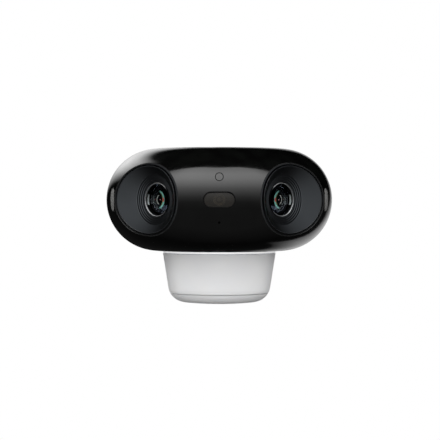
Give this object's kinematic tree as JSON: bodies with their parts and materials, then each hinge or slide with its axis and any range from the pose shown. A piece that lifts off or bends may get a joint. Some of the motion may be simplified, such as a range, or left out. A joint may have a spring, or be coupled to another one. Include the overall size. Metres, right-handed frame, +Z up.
{
  "type": "floodlight security camera",
  "caption": "Wide wrap-around security camera with angled lenses, spotlight windows, a motion sensor cup underneath and a pan and tilt wall bracket.",
  "frame": {"origin": "centre of the wall plate's back face", "axes": "+Z up, -Y the way the camera looks out from the wall, +X to the right of someone facing the camera"},
  "size_m": [0.12, 0.1537, 0.0833],
  "materials": {
    "gloss_black_shell": "polished moulding",
    "white_shell": "fine satin texture",
    "satin_grey_bezel": "fine satin texture",
    "black_anodised": "black anodised, turned",
    "bright_ring": "bright turned edge",
    "coated_glass": "polished and coated",
    "smoked_window": "smoked and polished",
    "diffuser": "fine prism texture behind a satin face",
    "optic": "clear moulded optic",
    "led": "phosphor coated package",
    "board": "solder mask",
    "black_plastic": "moulded, unpainted",
    "grey_plastic": "moulded, unpainted",
    "black_rubber": "matte silicone",
    "grey_rubber": "matte silicone",
    "steel": "zinc plated",
    "black_steel": "plain machined",
    "cell_sleeve": "shrink sleeve over a cell",
    "chassis_metal": "bent sheet",
    "brass": "knurled",
    "gold_film": "etched",
    "white_cup": "translucent satin",
    "white_bracket": "glass-filled, satin",
    "link_metal": "cast and painted light grey",
    "sensor_can": "nickel plated"
  },
  "bodies": {
    "wall_mount": {"wall_plate": "white_bracket", "pan_bolt": "black_steel"},
    "swivel": {"swivel_link": "link_metal"},
    "camera": {"front_shell": "gloss_black_shell", "rear_housing": "white_shell", "parting_gasket": "black_rubber", "mid_frame": "grey_plastic", "housing_screws": "steel", "chassis": "chassis_metal", "lens_bezel_left": "satin_grey_bezel", "lens_bezel_right": "satin_grey_bezel", "lens_barrel_left": "black_anodised", "lens_barrel_right": "black_anodised", "lens_retainer_left": "bright_ring", "lens_retainer_right": "bright_ring", "front_element_left": "coated_glass", "front_element_right": "coated_glass", "rear_element_left": "coated_glass", "rear_element_right": "coated_glass", "lens_mount_left": "black_plastic", "lens_mount_right": "black_plastic", "image_sensor_left": "black_plastic", "image_sensor_right": "black_plastic", "sensor_board_left": "board", "sensor_board_right": "board", "light_window": "smoked_window", "spotlight_lens": "optic", "spotlight_led": "led", "front_board": "board", "status_light_pipe": "gloss_black_shell", "microphone": "sensor_can", "microphone_boot": "black_rubber", "side_window_left": "diffuser", "side_window_right": "diffuser", "side_light_left": "led", "side_light_right": "led", "main_board": "board", "processor_shield": "sensor_can", "battery_cells": "cell_sleeve", "battery_tray": "black_plastic", "antennas": "gold_film", "speaker": "black_plastic", "io_board": "board", "usb_socket": "steel", "button_switch": "black_plastic", "cover_pin": "steel", "cup_collar": "white_cup", "cup_seal": "black_rubber", "motion_lens": "white_cup", "motion_cap": "white_cup", "motion_board": "board", "sensor_post": "black_plastic", "motion_sensors": "sensor_can", "mount_insert": "brass", "camera_foot": "white_bracket", "tilt_bolt": "black_steel"},
    "button": {"sync_button": "grey_rubber"},
    "cover": {"port_cover": "grey_rubber"}
  },
  "joints": [
    {"name": "pan", "type": "hinge", "parent": "wall_mount", "child": "swivel", "pos_m": [0, -0.026, 0], "axis": [0, 0, 1], "range_deg": [-35, 35]},
    {"name": "tilt", "type": "hinge", "parent": "swivel", "child": "camera", "pos_m": [0, -0.044, 0], "axis": [1, 0, 0], "range_deg": [-20, 45]},
    {"name": "button_press", "type": "slide", "parent": "camera", "child": "button", "axis": [0, -1, 0], "range_m": [0, 0.0008], "stiffness_N_per_m": 2500, "springref_m": -0.0004},
    {"name": "port_cover_hinge", "type": "hinge", "parent": "camera", "child": "cover", "pos_m": [0.032, -0.0611, 0], "axis": [0, 0, 1], "range_deg": [0, 90]}
  ]
}
